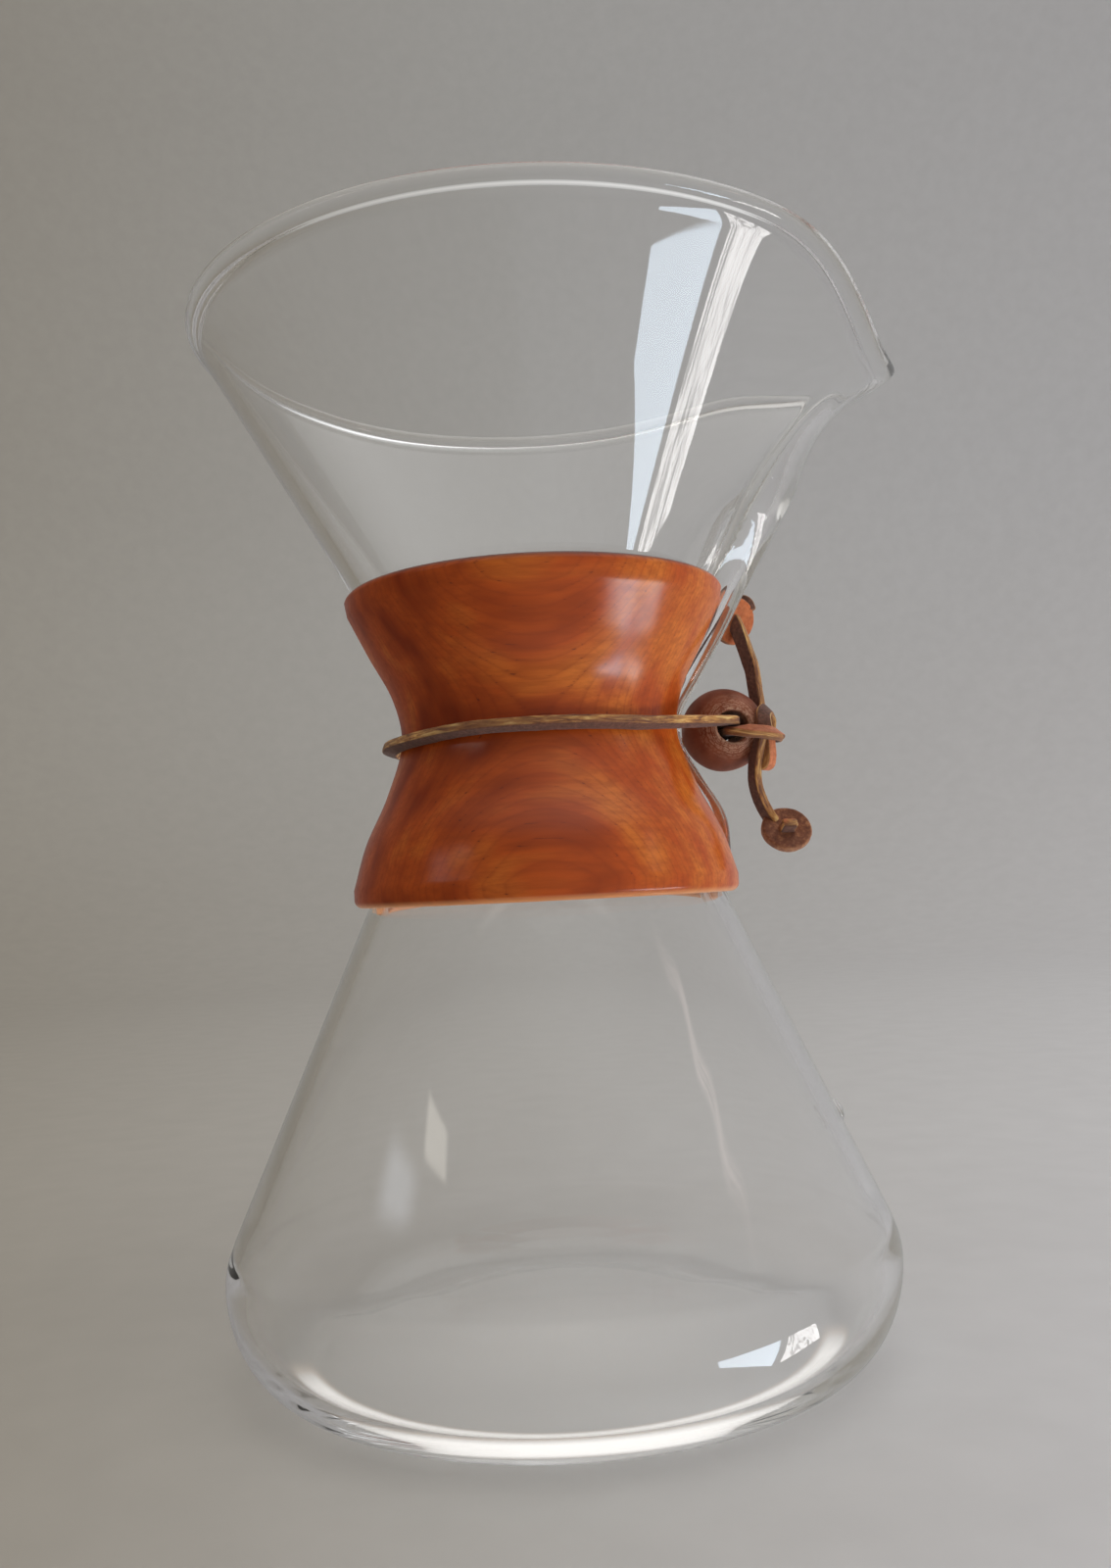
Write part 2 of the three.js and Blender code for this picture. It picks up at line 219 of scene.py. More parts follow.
def ramp(tree, factor, *stops):
    """A colour ramp from (position, grey or colour) stops."""
    made = node(tree, "ValToRGB", {0: factor})
    elements = made.color_ramp.elements
    while len(elements) < len(stops):
        elements.new(0.5)
    for element, (position, colour) in zip(elements, stops):
        element.position = position
        element.color = (colour,) * 3 + (1,) if isinstance(colour, float) else (*colour, 1)
    return made.outputs["Color"]


def scaled_noise(tree, vector, scale, detail=4.0, roughness=0.55, stretch=(1, 1, 1), distortion=0.0):
    """Noise whose cells are squeezed by stretch along each axis."""
    moved = node(tree, "Mapping", {"Vector": vector, "Scale": stretch}).outputs[0]
    return node(tree, "TexNoise", {
        "Vector": moved, "Scale": scale, "Detail": detail, "Roughness": roughness, "Distortion": distortion,
    }).outputs["Fac"]


def new_material(name, **shader_inputs):
    """A material, its node tree and its Principled shader with the given constant inputs."""
    material = bpy.data.materials.new(name)
    material.use_nodes = True
    tree = material.node_tree
    shader = tree.nodes["Principled BSDF"]
    for key, value in shader_inputs.items():
        shader.inputs[key.replace("_", " ")].default_value = value
    return material, tree, shader


def add_bump(tree, shader, height, strength, distance):
    bump = node(tree, "Bump", {"Height": height, "Strength": strength, "Distance": distance * MM})
    tree.links.new(bump.outputs[0], shader.inputs["Normal"])


# ---------------------------------------------------------------- materials

def glass_material():
    """Clear glass that lets the lamps' light through instead of casting a solid shadow."""
    material, tree, shader = new_material(
        "clear_glass", Base_Color=(1, 1, 1, 1), Roughness=0.0, IOR=1.47,
    )
    shader.inputs["Transmission Weight"].default_value = 1.0
    path = node(tree, "LightPath")
    clear = node(tree, "BsdfTransparent", {"Color": (1, 1, 1, 1)})
    either = node(tree, "MixShader", {
        0: path.outputs["Is Shadow Ray"], 1: shader.outputs[0], 2: clear.outputs[0],
    })
    tree.links.new(either.outputs[0], tree.nodes["Material Output"].inputs["Surface"])
    return material


def collar_wood_material():
    """Orange-brown lacquered wood. Growth layers lie across Y and the fibres run along X."""
    material, tree, shader = new_material(
        "collar_wood", Coat_Weight=0.65, Coat_Roughness=0.2, Coat_IOR=1.5, Specular_IOR_Level=0.03,
    )
    place = node(tree, "TexCoord").outputs["Object"]
    split = node(tree, "SeparateXYZ", {0: place})
    bend = scaled_noise(tree, place, 24, 2.0, 0.4, (0.35, 1, 1))
    # Distance through the growth layers, in ring spacings
    layers = calc(tree, "MULTIPLY", split.outputs[1], 1000 / RING_SPACING)
    layers = calc(tree, "ADD", layers, calc(tree, "MULTIPLY", bend, 7.0))
    rings = calc(tree, "FRACT", layers)
    late = ramp(tree, rings, (0.0, 0.25), (0.12, 0.0), (0.7, 0.15), (0.93, 1.0), (1.0, 0.25))
    broad = scaled_noise(tree, node(tree, "CombineXYZ", {
        0: calc(tree, "MULTIPLY", split.outputs[0], 0.25), 1: calc(tree, "MULTIPLY", layers, 0.001),
        2: calc(tree, "MULTIPLY", split.outputs[2], 0.5),
    }).outputs[0], 170, 2.0, 0.5)
    streaks = scaled_noise(tree, place, 900, 5.0, 0.6, (0.07, 1, 1))
    pores = scaled_noise(tree, place, 2600, 2.0, 0.5, (0.045, 1, 1))
    rightward = calc(tree, "MULTIPLY", split.outputs[0], 3.6)  # the colour is darker towards -X
    base = ramp(
        tree, calc(tree, "ADD", broad, rightward),
        (0.22, (0.22, 0.026, 0.003)), (0.5, (0.45, 0.075, 0.009)), (0.76, (0.62, 0.165, 0.022)),
    )
    ringed = mixed(tree, calc(tree, "MULTIPLY", late, 0.3), base, (0.22, 0.032, 0.007, 1))
    streaked = mixed(tree, ramp(tree, streaks, (0.38, 0.4), (0.6, 0.0)), ringed, (0.24, 0.04, 0.006, 1))
    dots = calc(tree, "MULTIPLY", ramp(tree, pores, (0.3, 0.75), (0.37, 0.0)), late)
    colour = mixed(tree, dots, streaked, (0.09, 0.018, 0.008, 1))
    # The bottom edge is worn pale; along the top edge the colour is a painted shade for the gap between the
    # collar and the glass
    height = split.outputs[2]
    low, high = (COLLAR_BOTTOM + 0.3) * MM, (COLLAR_BOTTOM + 1.1) * MM
    worn = node(tree, "MapRange", {0: height, 1: low, 2: high, 3: 0.6, 4: 0.0}).outputs[0]
    colour = mixed(tree, worn, colour, (0.72, 0.33, 0.12, 1))
    low, high = (COLLAR_TOP - 1) * MM, (COLLAR_TOP - 0.3) * MM
    gap_shade = node(tree, "MapRange", {0: height, 1: low, 2: high, 3: 0.0, 4: 0.9}).outputs[0]
    colour = mixed(tree, gap_shade, colour, (0.05, 0.014, 0.006, 1))
    tree.links.new(colour, shader.inputs["Base Color"])
    tree.links.new(ramp(tree, streaks, (0.3, 0.42), (0.7, 0.3)), shader.inputs["Roughness"])
    add_bump(tree, shader, calc(tree, "SUBTRACT", streaks, calc(tree, "MULTIPLY", dots, 0.6)), 0.12, 0.05)
    return material


def bead_wood_material():
    """Dark turned wood with pale worn rings round the bore's two mouths."""
    material, tree, shader = new_material("bead_wood", Specular_IOR_Level=0.12)
    place = node(tree, "TexCoord").outputs["Object"]
    bore = (math.sin(BEAD_TURN), -math.cos(BEAD_TURN), 0)
    away = node(tree, "VectorMath", {0: place, 1: tuple(BEAD_CENTRE * MM)}, operation="SUBTRACT").outputs[0]
    across = node(tree, "VectorMath", {0: away, 1: bore}, operation="CROSS_PRODUCT").outputs[0]
    radius = node(tree, "VectorMath", {0: across}, operation="LENGTH").outputs["Value"]
    wander = scaled_noise(tree, place, 420, 4.0, 0.6)
    turned = calc(tree, "ADD", calc(tree, "MULTIPLY", radius, 1000.0), calc(tree, "MULTIPLY", wander, 1.3))
    rings = scaled_noise(tree, node(tree, "CombineXYZ", {0: turned}).outputs[0], 3.2, 3.0, 0.7)
    near_mouth = node(tree, "MapRange", {0: turned, 1: 4.2, 2: 7.6, 3: 1.0, 4: 0.0}).outputs[0]
    scratches = scaled_noise(tree, place, 1500, 5.0, 0.7)
    mottled = scaled_noise(tree, place, 200, 4.0, 0.6, (1, 0.3, 1))
    base = ramp(
        tree, mottled, (0.3, (0.12, 0.028, 0.012)), (0.55, (0.2, 0.053, 0.024)), (0.8, (0.28, 0.09, 0.045)),
    )
    pale = calc(tree, "MULTIPLY", near_mouth, ramp(tree, rings, (0.44, 0.0), (0.52, 1.0)))
    pale = calc(tree, "MULTIPLY", pale, ramp(tree, scratches, (0.42, 0.15), (0.52, 1.0)))
    colour = mixed(tree, pale, base, (0.5, 0.3, 0.2, 1))
    tree.links.new(colour, shader.inputs["Base Color"])
    tree.links.new(ramp(tree, mottled, (0.3, 0.5), (0.7, 0.36)), shader.inputs["Roughness"])
    height = calc(tree, "ADD", rings, calc(tree, "MULTIPLY", scratches, 0.6))
    add_bump(tree, shader, height, 0.35, 0.12)
    return material


def lace_material():
    """Rawhide lace: brown grain on one wide side, orange flesh on the other, golden cut edges."""
    material, tree, shader = new_material("thong_leather", Sheen_Weight=0.12, Sheen_Roughness=0.6)
    sides = node(tree, "SeparateColor", {
        0: node(tree, "Attribute", attribute_name="lace_sides").outputs["Color"],
    })
    run = node(tree, "Attribute", attribute_name="lace_run").outputs["Vector"]
    place = node(tree, "TexCoord").outputs["Object"]
    fibres = scaled_noise(tree, run, 1500, 5.0, 0.65, (0.16, 1, 1), 0.6)
    strands = scaled_noise(tree, run, 600, 3.0, 0.6, (0.1, 1, 1), 0.4)
    grain = scaled_noise(tree, place, 1300, 5.0, 0.65)
    patches = scaled_noise(tree, place, 180, 3.0, 0.55)
    edge = ramp(
        tree, fibres, (0.36, (0.1, 0.028, 0.008)), (0.46, (0.38, 0.15, 0.035)),
        (0.55, (0.6, 0.3, 0.075)), (0.66, (0.86, 0.58, 0.22)),
    )
    edge = mixed(tree, ramp(tree, strands, (0.4, 0.7), (0.55, 0.0)), edge, (0.16, 0.05, 0.018, 1))
    brown = ramp(
        tree, grain, (0.3, (0.05, 0.015, 0.007)), (0.55, (0.12, 0.038, 0.017)), (0.75, (0.24, 0.085, 0.04)),
    )
    flesh = ramp(
        tree, grain, (0.25, (0.34, 0.085, 0.022)), (0.5, (0.56, 0.15, 0.042)), (0.75, (0.66, 0.23, 0.08)),
    )
    colour = mixed(tree, sides.outputs[0], edge, brown)
    colour = mixed(tree, sides.outputs[1], colour, flesh)
    colour = mixed(tree, ramp(tree, patches, (0.35, 0.35), (0.6, 0.0)), colour, (0.1, 0.035, 0.016, 1))
    tree.links.new(colour, shader.inputs["Base Color"])
    tree.links.new(ramp(tree, grain, (0.3, 0.85), (0.7, 0.6)), shader.inputs["Roughness"])
    add_bump(tree, shader, calc(tree, "ADD", fibres, calc(tree, "MULTIPLY", grain, 0.7)), 0.55, 0.16)
    return material


def disc_material():
    """Russet leather disc: brown grain on the outer face, orange flesh on the edge and the other."""
    material, tree, shader = new_material("disc_leather", Sheen_Weight=0.1, Sheen_Roughness=0.6)
    sides = node(tree, "SeparateColor", {
        0: node(tree, "Attribute", attribute_name="lace_sides").outputs["Color"],
    })
    place = node(tree, "TexCoord").outputs["Object"]
    grain = scaled_noise(tree, place, 1100, 5.0, 0.65)
    patches = scaled_noise(tree, place, 240, 3.0, 0.55)
    brown = ramp(
        tree, grain, (0.3, (0.09, 0.024, 0.009)), (0.5, (0.2, 0.06, 0.02)), (0.68, (0.4, 0.16, 0.055)),
    )
    flesh = ramp(
        tree, grain, (0.25, (0.34, 0.07, 0.014)), (0.5, (0.54, 0.13, 0.026)), (0.75, (0.64, 0.2, 0.05)),
    )
    edge = ramp(
        tree, grain, (0.3, (0.16, 0.05, 0.02)), (0.5, (0.36, 0.14, 0.05)), (0.7, (0.58, 0.3, 0.12)),
    )
    colour = mixed(tree, sides.outputs[0], edge, brown)
    colour = mixed(tree, sides.outputs[1], colour, flesh)
    colour = mixed(tree, ramp(tree, patches, (0.35, 0.4), (0.6, 0.0)), colour, (0.12, 0.035, 0.016, 1))
    tree.links.new(colour, shader.inputs["Base Color"])
    tree.links.new(ramp(tree, grain, (0.3, 0.85), (0.7, 0.6)), shader.inputs["Roughness"])
    add_bump(tree, shader, grain, 0.5, 0.15)
    return material


GLASS = glass_material()
COLLAR_WOOD = collar_wood_material()
BEAD_WOOD = bead_wood_material()
LACE = lace_material()
DISC_LEATHER = disc_material()


# ---------------------------------------------------------------- glass vessel

SHOULDER_ANGLE = math.atan(FLASK_SLOPE * SHOULDER_RISE / CORNER_WIDTH)
SHOULDER_R = FLASK_RADIUS - CORNER_WIDTH + CORNER_WIDTH * math.cos(SHOULDER_ANGLE)
SHOULDER_Z = WIDEST_Z + SHOULDER_RISE * math.sin(SHOULDER_ANGLE)


def hourglass(z):
    """Outer radius of the plain hourglass above the shoulder: two cones, softly joined."""
    flask = SHOULDER_R - FLASK_SLOPE * (z - SHOULDER_Z)
    funnel = RIM_RADIUS - FUNNEL_SLOPE * (RIM_Z - z)
    return (flask + funnel + np.hypot(flask - funnel, NECK_SOFTNESS)) / 2


def radial_wall(z):
    return WALL * np.hypot(1, hourglass(z + 0.5) - hourglass(z - 0.5))


def base_corner(wall, floor, steps):
    """(radius, z) of the rounded base corner, inset by the glass thickness."""
    angles = np.linspace(-math.pi / 2, SHOULDER_ANGLE, steps)
    drop = np.where(angles < 0, WIDEST_Z - floor, SHOULDER_RISE)
    r = FLASK_RADIUS - CORNER_WIDTH + (CORNER_WIDTH - wall) * np.cos(angles)
    return np.stack([r, WIDEST_Z + drop * np.sin(angles)], 1)


def rim_bead(steps):
    centre = hourglass(RIM_Z) - radial_wall(RIM_Z) / 2
    angles = np.radians(np.linspace(-40, 200, steps))
    return np.stack([centre + RIM_BEAD * np.cos(angles), RIM_Z + RIM_BEAD * np.sin(angles)], 1)


def channel(z, aside):
    """How far the air channel stands out at height z, at a distance aside from its middle."""
    widening = smoothstep(z, COLLAR_TOP, SPOUT_START_Z + 10)
    half_width = CHANNEL_HALF_WIDTH + (CHANNEL_MOUTH_HALF_WIDTH - CHANNEL_HALF_WIDTH) * widening
    s = np.clip((aside / half_width) ** 2, 0, 1)
    return smooth_table(CHANNEL_HEIGHTS, z) * (1 - s) ** 2 * (1 + s)


def with_spout(r, z, angle):
    """Moves points of the plain hourglass out to the spout and the air channel."""
    up = np.clip((z - SPOUT_START_Z) / (RIM_Z - SPOUT_START_Z), 0, None)
    groove = np.where(np.cos(angle) > 0, channel(z, hourglass(z) * np.sin(angle)), 0)
    groove = np.where(z < CHANNEL_HEIGHTS[0][0], 0, groove)
    beak = 0.6 * np.exp(-((np.hypot(angle, 0.04) / 0.16) ** 1.3)) + 0.4 * np.exp(-((angle / 0.6) ** 2))
    dip = np.exp(-(np.abs(angle / 0.5) ** 2.9))
    return r + groove + SPOUT_REACH * beak * up**5, z - SPOUT_DIP * dip * up


def vessel():
    """The whole blown vessel as one closed wall: outside, rim bead, inside, floor."""
    outer_z = np.linspace(SHOULDER_Z + 1.5, RIM_Z - 2.4, 100)
    inner_z = outer_z[::-2]
    outside = np.stack([hourglass(outer_z), outer_z], 1)
    inside = np.stack([hourglass(inner_z) - radial_wall(inner_z), inner_z], 1)
    outside_rows = np.concatenate([[(16, 0), (34, 0)], base_corner(0, 0, 20), outside, rim_bead(13)])
    inside_rows = np.concatenate([inside, base_corner(WALL, FLOOR, 16)[::-1], [(34, FLOOR), (16, FLOOR)]])
    columns = 240
    around = np.linspace(-math.pi, math.pi, columns, endpoint=False)
    angle = around - 0.5 * np.sin(around)  # closer steps at the spout
    rows = np.concatenate([outside_rows, inside_rows])
    vertices = []
    for i, (row_r, row_z) in enumerate(rows):
        wave = np.zeros(columns)
        if i >= len(outside_rows) and row_z > FLOOR + 2:
            wave = np.array([
                noise.noise(Vector((math.cos(a) * 1.6, math.sin(a) * 1.6, row_z * 0.022))) for a in angle
            ])
        r, z = with_spout(row_r + WALL_WAVE * wave, np.full(columns, row_z), angle)
        vertices += list(zip(r * np.cos(angle), r * np.sin(angle), z))
    faces = grid_faces(len(rows), columns, closed_columns=True)
    last = (len(rows) - 1) * columns
    bottom, floor = len(vertices), len(vertices) + 1
    vertices += [(0, 0, 0), (0, 0, FLOOR)]
    for j in range(columns):
        k = (j + 1) % columns
        faces += [(bottom, k, j), (floor, last + j, last + k)]
    return new_piece("vessel", vertices, faces, GLASS)


def button():
    """The fused drop of glass on the flask, a low dome that meets the wall."""
    steps, rings = 40, 12
    lean = Matrix.Rotation(math.pi / 2 - math.atan(FLASK_SLOPE), 3, "Y")
    foot = Vector((hourglass(BUTTON_Z) + 0.08, 0, BUTTON_Z))
    vertices = []
    for a in np.linspace(0, math.pi / 2, rings, endpoint=False):
        for b in np.linspace(0, 2 * math.pi, steps, endpoint=False):
            r = BUTTON_RADIUS * math.cos(a)
            up = BUTTON_HEIGHT * math.sin(a) ** 1.2
            vertices.append(lean @ Vector((r * math.cos(b), r * math.sin(b), up)) + foot)
    faces = grid_faces(rings, steps, closed_columns=True)
    vertices += [lean @ Vector((0, 0, BUTTON_HEIGHT)) + foot, foot]
    top, under = len(vertices) - 2, len(vertices) - 1
    last = (rings - 1) * steps
    for j in range(steps):
        k = (j + 1) % steps
        faces += [(last + j, last + k, top), (k, j, under)]
    return new_piece("vessel_button", vertices, faces, GLASS)


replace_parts(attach(vessel(), "root"), "glass_vessel")
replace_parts(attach(button(), "root"), "level_button")


# ---------------------------------------------------------------- collar

def collar_section():
    """The collar's closed section as (radius, z) points, anticlockwise from the bottom nose."""
    outer = spline([(r, z, 0) for r, z in COLLAR_OUTLINE], 1.1)[:, :2]
    nose = 1.7
    bottom = [(COLLAR_OUTLINE[0][0] - nose + nose * math.sin(a), COLLAR_BOTTOM + nose - nose * math.cos(a))
              for a in np.linspace(0.15, 1.45, 8)]
    top = [(COLLAR_OUTLINE[-1][0] - 1.2 + nose * math.cos(a), COLLAR_TOP - nose + nose * math.sin(a))
           for a in np.linspace(0.1, 1.5, 8)]
    levels = np.linspace(COLLAR_TOP - 0.6, COLLAR_BOTTOM + 0.6, 46)
    inner = [(hourglass(z) + COLLAR_CLEARANCE, z) for z in levels]
    return np.array([*bottom, *outer, *top, *inner])


def collar_half(side):
    section = collar_section()
    ahead = np.roll(section, -1, 0) - np.roll(section, 1, 0)
    outward = np.stack([ahead[:, 1], -ahead[:, 0]], 1)
    outward /= np.linalg.norm(outward, axis=1)[:, None]
    rounding = np.linspace(0, math.pi / 2, 7)
    vertices, rows = [], 0

    def add_row(inset, plane, share):
        """One section of the half: inset from its skin, share of the way round from +X to -X."""
        nonlocal rows
        r, z = (section - inset * outward).T
        start = np.arcsin(plane / r)
        angle = start + share * (math.pi - 2 * start)
        vertices.extend(zip(r * np.cos(angle), side * r * np.sin(angle), z))
        rows += 1

    for a in rounding[::-1]:
        add_row(COLLAR_EDGE * (1 - math.cos(a)), COLLAR_HALF_GAP + COLLAR_EDGE * (1 - math.sin(a)), 0)
    for share in np.linspace(0, 1, 110)[1:-1]:
        add_row(0, COLLAR_HALF_GAP + COLLAR_EDGE, share)
    for a in rounding:
        add_row(COLLAR_EDGE * (1 - math.cos(a)), COLLAR_HALF_GAP + COLLAR_EDGE * (1 - math.sin(a)), 1)
    count = len(section)
    faces = grid_faces(rows, count, closed_columns=True)
    cap = [Vector((r, z, 0)) for r, z in section - COLLAR_EDGE * outward]
    for a, b, c in tessellate_polygon([cap]):
        last = (rows - 1) * count
        faces += [(a, c, b), (last + a, last + b, last + c)]
    if side > 0:
        faces = [f[::-1] for f in faces]
    return new_piece("front_collar" if side < 0 else "back_collar", vertices, faces, COLLAR_WOOD)


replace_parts(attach(collar_half(-1), "front_half"), "collar_front")
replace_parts(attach(collar_half(1), "back_half"), "collar_back")


# ---------------------------------------------------------------- bead

def at_bead(along, aside, up):
    """A point in the bead's own directions: along the bore (front is positive), aside, up."""
    s, c = math.sin(BEAD_TURN), math.cos(BEAD_TURN)
    return BEAD_CENTRE + Vector((s * along + c * aside, -c * along + s * aside, up))


def wooden_bead():
    """A turned ball with a bore, its mouths rounded over."""
    mouth = math.acos((BORE_RADIUS + 0.55) / BEAD_RADIUS)
    outer = [(BEAD_RADIUS * math.cos(a), BEAD_RADIUS * math.sin(a)) for a in np.linspace(-mouth, mouth, 50)]
    edge = BEAD_RADIUS * math.sin(mouth)
    lip = [(BORE_RADIUS + 0.55 - 0.55 * math.sin(a), edge - 0.5 + 0.5 * math.cos(a))
           for a in np.linspace(0.35, math.pi / 2, 6)]
    bore = [(BORE_RADIUS, along) for along in np.linspace(edge - 1.2, -edge + 1.2, 16)]
    profile = [*outer, *lip, *bore, *[(r, -along) for r, along in lip[::-1]]]
    steps = 96
    vertices = []
    for r, along in profile:
        for b in np.linspace(0, 2 * math.pi, steps, endpoint=False):
            wander = 0.06 * noise.noise(Vector((math.cos(b) * 2.1, math.sin(b) * 2.1, along * 0.3)))
            reach = r * (1 + wander / BEAD_RADIUS)
            vertices.append(at_bead(along, reach * math.cos(b), reach * math.sin(b)))
    faces = grid_faces(len(profile), steps, closed_rows=True, closed_columns=True)
    return new_piece("turned_bead", vertices, faces, BEAD_WOOD)


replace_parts(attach(wooden_bead(), "bead"), "bead")


# ---------------------------------------------------------------- leather lace

def lace_outline():
    """The lace's section as (across the width, through the thickness) points, with round corners."""
    half_width, half_thickness = LACE_WIDTH / 2, LACE_THICKNESS / 2
    outline = []
    corners = [(1, 1, 0), (-1, 1, 90), (-1, -1, 180), (1, -1, 270)]
    for sx, sy, turn in corners:
        for a in np.radians(np.linspace(turn, turn + 90, 5)):
            outline.append((sx * (half_width - LACE_CORNER) + LACE_CORNER * math.cos(a),
                            sy * (half_thickness - LACE_CORNER) + LACE_CORNER * math.sin(a)))
        if sy > 0 and sx > 0 or sy < 0 and sx < 0:
            for share in (0.25, 0.5, 0.75):
                outline.append((sx * (half_width - LACE_CORNER) * (1 - 2 * share), sy * half_thickness))
        else:
            outline.append((sx * half_width, 0))
    return np.array(outline)


def lace(name, route, seed):
    """A length of lace along a route of (point, direction that its flesh side faces)."""
    dense = spline([(*point, *facing) for point, facing in route], 0.32)
    points, facing = dense[:, :3], dense[:, 3:]
    ahead = np.gradient(points, axis=0)
    ahead /= np.linalg.norm(ahead, axis=1)[:, None]
    facing = facing - (facing * ahead).sum(1)[:, None] * ahead
    facing /= np.linalg.norm(facing, axis=1)[:, None]
    width = np.cross(facing, ahead)
    outline = lace_outline()
    run = np.concatenate([[0], np.cumsum(np.linalg.norm(np.diff(points, axis=0), axis=1))])
    vertices, sides, runs = [], [], []
    around = np.concatenate([[0], np.cumsum(np.linalg.norm(np.diff(outline, axis=0), axis=1))])
    for i, centre in enumerate(points):
        swell = 1 + 0.05 * noise.noise(Vector((run[i] * 0.35, seed, 0)))
        end = min(run[i], run[-1] - run[i])
        closing = 1 - 0.12 * max(0, 1 - end / 0.3)
        for (u, v), turn in zip(outline, around):
            ragged = 0.09 * noise.noise(Vector((run[i] * 1.7, turn * 1.1 + seed, seed)))
            edge = abs(u) / (LACE_WIDTH / 2)
            reach_u = u * swell * closing + math.copysign(ragged * edge**4, u)
            reach_v = v * swell * closing * (1 + 0.5 * ragged)
            vertices.append(centre + width[i] * reach_u + facing[i] * reach_v)
            flat = smoothstep(abs(v) / (LACE_THICKNESS / 2), 0.8, 0.97)
            flat *= 1 - smoothstep(edge, 0.86, 0.97)
            sides.append((flat if v < 0 else 0, flat if v > 0 else 0, 0, 1))
            runs.append((run[i] * MM, (turn + 7 * seed) * MM, (seed + 0.2 * v) * MM))
    count = len(outline)
    faces = grid_faces(len(points), count, closed_columns=True)
    faces += [tuple(range(count))[::-1], tuple(range((len(points) - 1) * count, len(points) * count))]
    piece = new_piece(name, vertices, faces, LACE)
    paint_lace(piece, sides, runs)
    return piece


def paint_lace(piece, sides, runs):
    """Stores which side of the leather each vertex is on, and its place along the lace."""
    stored = piece.data.attributes.new("lace_sides", "FLOAT_COLOR", "POINT")
    stored.data.foreach_set("color", np.array(sides, np.float32).ravel())
    stored = piece.data.attributes.new("lace_run", "FLOAT_VECTOR", "POINT")
    stored.data.foreach_set("vector", np.array(runs, np.float32).ravel())


UP = Vector((0, 0, 1))


def band_route(side):
    """From the seam at -X round one half of the collar, then straight into the bead's bore."""
    stack = -side * LACE_STACK
    mouth = at_bead(-side * 8.2, -0.5, stack)
    reach = math.hypot(mouth.x, mouth.y)
    tangent = math.atan2(abs(mouth.y), mouth.x) + math.acos(TIE_RADIUS / reach)
    route = []
    for angle in np.linspace(math.pi, tangent, 30):
        outward = Vector((math.cos(angle), side * math.sin(angle), 0))
        sag = -0.9 * smoothstep(-outward.x, 0.3, 1.0)
        facing = UP * math.cos(TIE_TILT) - outward * math.sin(TIE_TILT)
        route.append((outward * TIE_RADIUS + UP * (TIE_Z + sag), facing))
    leave = route[-1][0]
    for share in (0.35, 0.7):
        route.append((leave.lerp(mouth, share), route[-1][1].lerp(UP, share * 0.5)))
    route.append((mouth, UP))
    route.append((at_bead(-side * 5.5, 0, stack), UP))
    route.append((at_bead(-side * 2.5, 0, stack), UP))
    route.append((at_bead(-side * 0.4, 0, stack), UP))
    return route


band_front = lace("lace_round_front", band_route(-1), seed=1.3)
band_back = lace("lace_round_back", band_route(1), seed=4.1)
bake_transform(band_front)
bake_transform(band_back)
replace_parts(band_front, "thong_band_front")
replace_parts(band_back, "thong_band_back")


pass_front = lace("lace_through_front", [
    (at_bead(0.4, 0, LACE_STACK), UP),
    (at_bead(-4, 0, LACE_STACK), UP),
    (at_bead(-7.4, 0.1, LACE_STACK), UP),
    (at_bead(-9.8, 0.9, 1.2), Vector((-0.1, 0.4, 0.9))),
    (at_bead(-10.4, 3.2, 1.0), Vector((0.2, 0.7, 0.7))),
    (at_bead(-9.2, 6.2, 0.6), Vector((0.4, 0.6, 0.7))),
    (at_bead(-6.3, 8.9, 0.2), Vector((0.6, 0.4, 0.7))),
    (at_bead(-2.6, 10.3, 0), Vector((0.7, 0.2, 0.7))),
    (at_bead(0.6, 10.3, -0.4), Vector((0.7, -0.1, 0.7))),
], seed=7.7)
pass_back = lace("lace_through_back", [
    (at_bead(-0.4, 0, -LACE_STACK), UP),
    (at_bead(4, 0, -LACE_STACK), UP),
    (at_bead(7.2, 0.1, -LACE_STACK), Vector((0, -0.15, 1))),
    (Vector((39.9, -9.0, 119.8)), Vector((0, -0.4, 0.9))),
    (Vector((41.7, -9.5, 119.6)), Vector((0, -0.6, 0.8))),
    (Vector((43.7, -9.0, 119.4)), Vector((0.1, -0.6, 0.8))),
    (Vector((45.6, -8.0, 119.2)), Vector((0.25, -0.6, 0.75))),
    (Vector((47.0, -6.3, 119.1)), Vector((0.5, -0.4, 0.75))),
    (Vector((47.5, -4.3, 119.1)), Vector((0.65, -0.1, 0.75))),
    (Vector((47.2, -2.2, 119.3)), Vector((0.65, 0.1, 0.75))),
    (Vector((46.7, -0.6, 119.6)), Vector((0.65, 0.1, 0.75))),
], seed=9.2)
for piece, cad_node in ((pass_front, "thong_pass_front"), (pass_back, "thong_pass_back")):
    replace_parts(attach(piece, "root"), cad_node)

